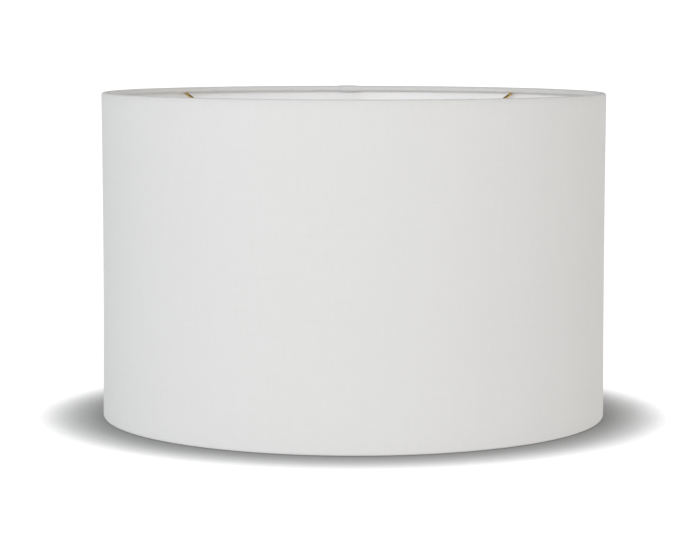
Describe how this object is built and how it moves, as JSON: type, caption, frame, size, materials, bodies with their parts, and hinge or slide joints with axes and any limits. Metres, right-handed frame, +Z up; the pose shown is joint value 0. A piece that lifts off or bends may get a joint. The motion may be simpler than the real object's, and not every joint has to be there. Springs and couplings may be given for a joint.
{
  "type": "lamp shade",
  "caption": "Round hardback drum lamp shade in white linen over a white lining, with rolled edges and a recessed wire spider with a washer fitter.",
  "frame": {"origin": "centre of the circle that the bottom edge stands on", "axes": "+Z up the shade's axis; +Y towards the rear, where the lining overlaps itself; the arms lie at 45, 135, 225 and 315 degrees from +X"},
  "size_m": [0.3556, 0.3556, 0.2286],
  "materials": {
    "white_linen": "plain woven linen blend, matt, off-white",
    "white_styrene": "smooth satin white, slightly translucent sheet",
    "clear_tape": "clear double-sided tape with a slight yellow tint",
    "brass_plate": "thin bright brass plate on drawn steel wire"
  },
  "bodies": {
    "root": {"linen_cover": "white_linen", "styrene_lining": "white_styrene", "seam_tape": "clear_tape", "top_ring": "brass_plate", "bottom_ring": "brass_plate", "spider_washer": "brass_plate", "spider_arm_rear_right": "brass_plate", "spider_arm_rear_left": "brass_plate", "spider_arm_front_left": "brass_plate", "spider_arm_front_right": "brass_plate"}
  },
  "joints": []
}
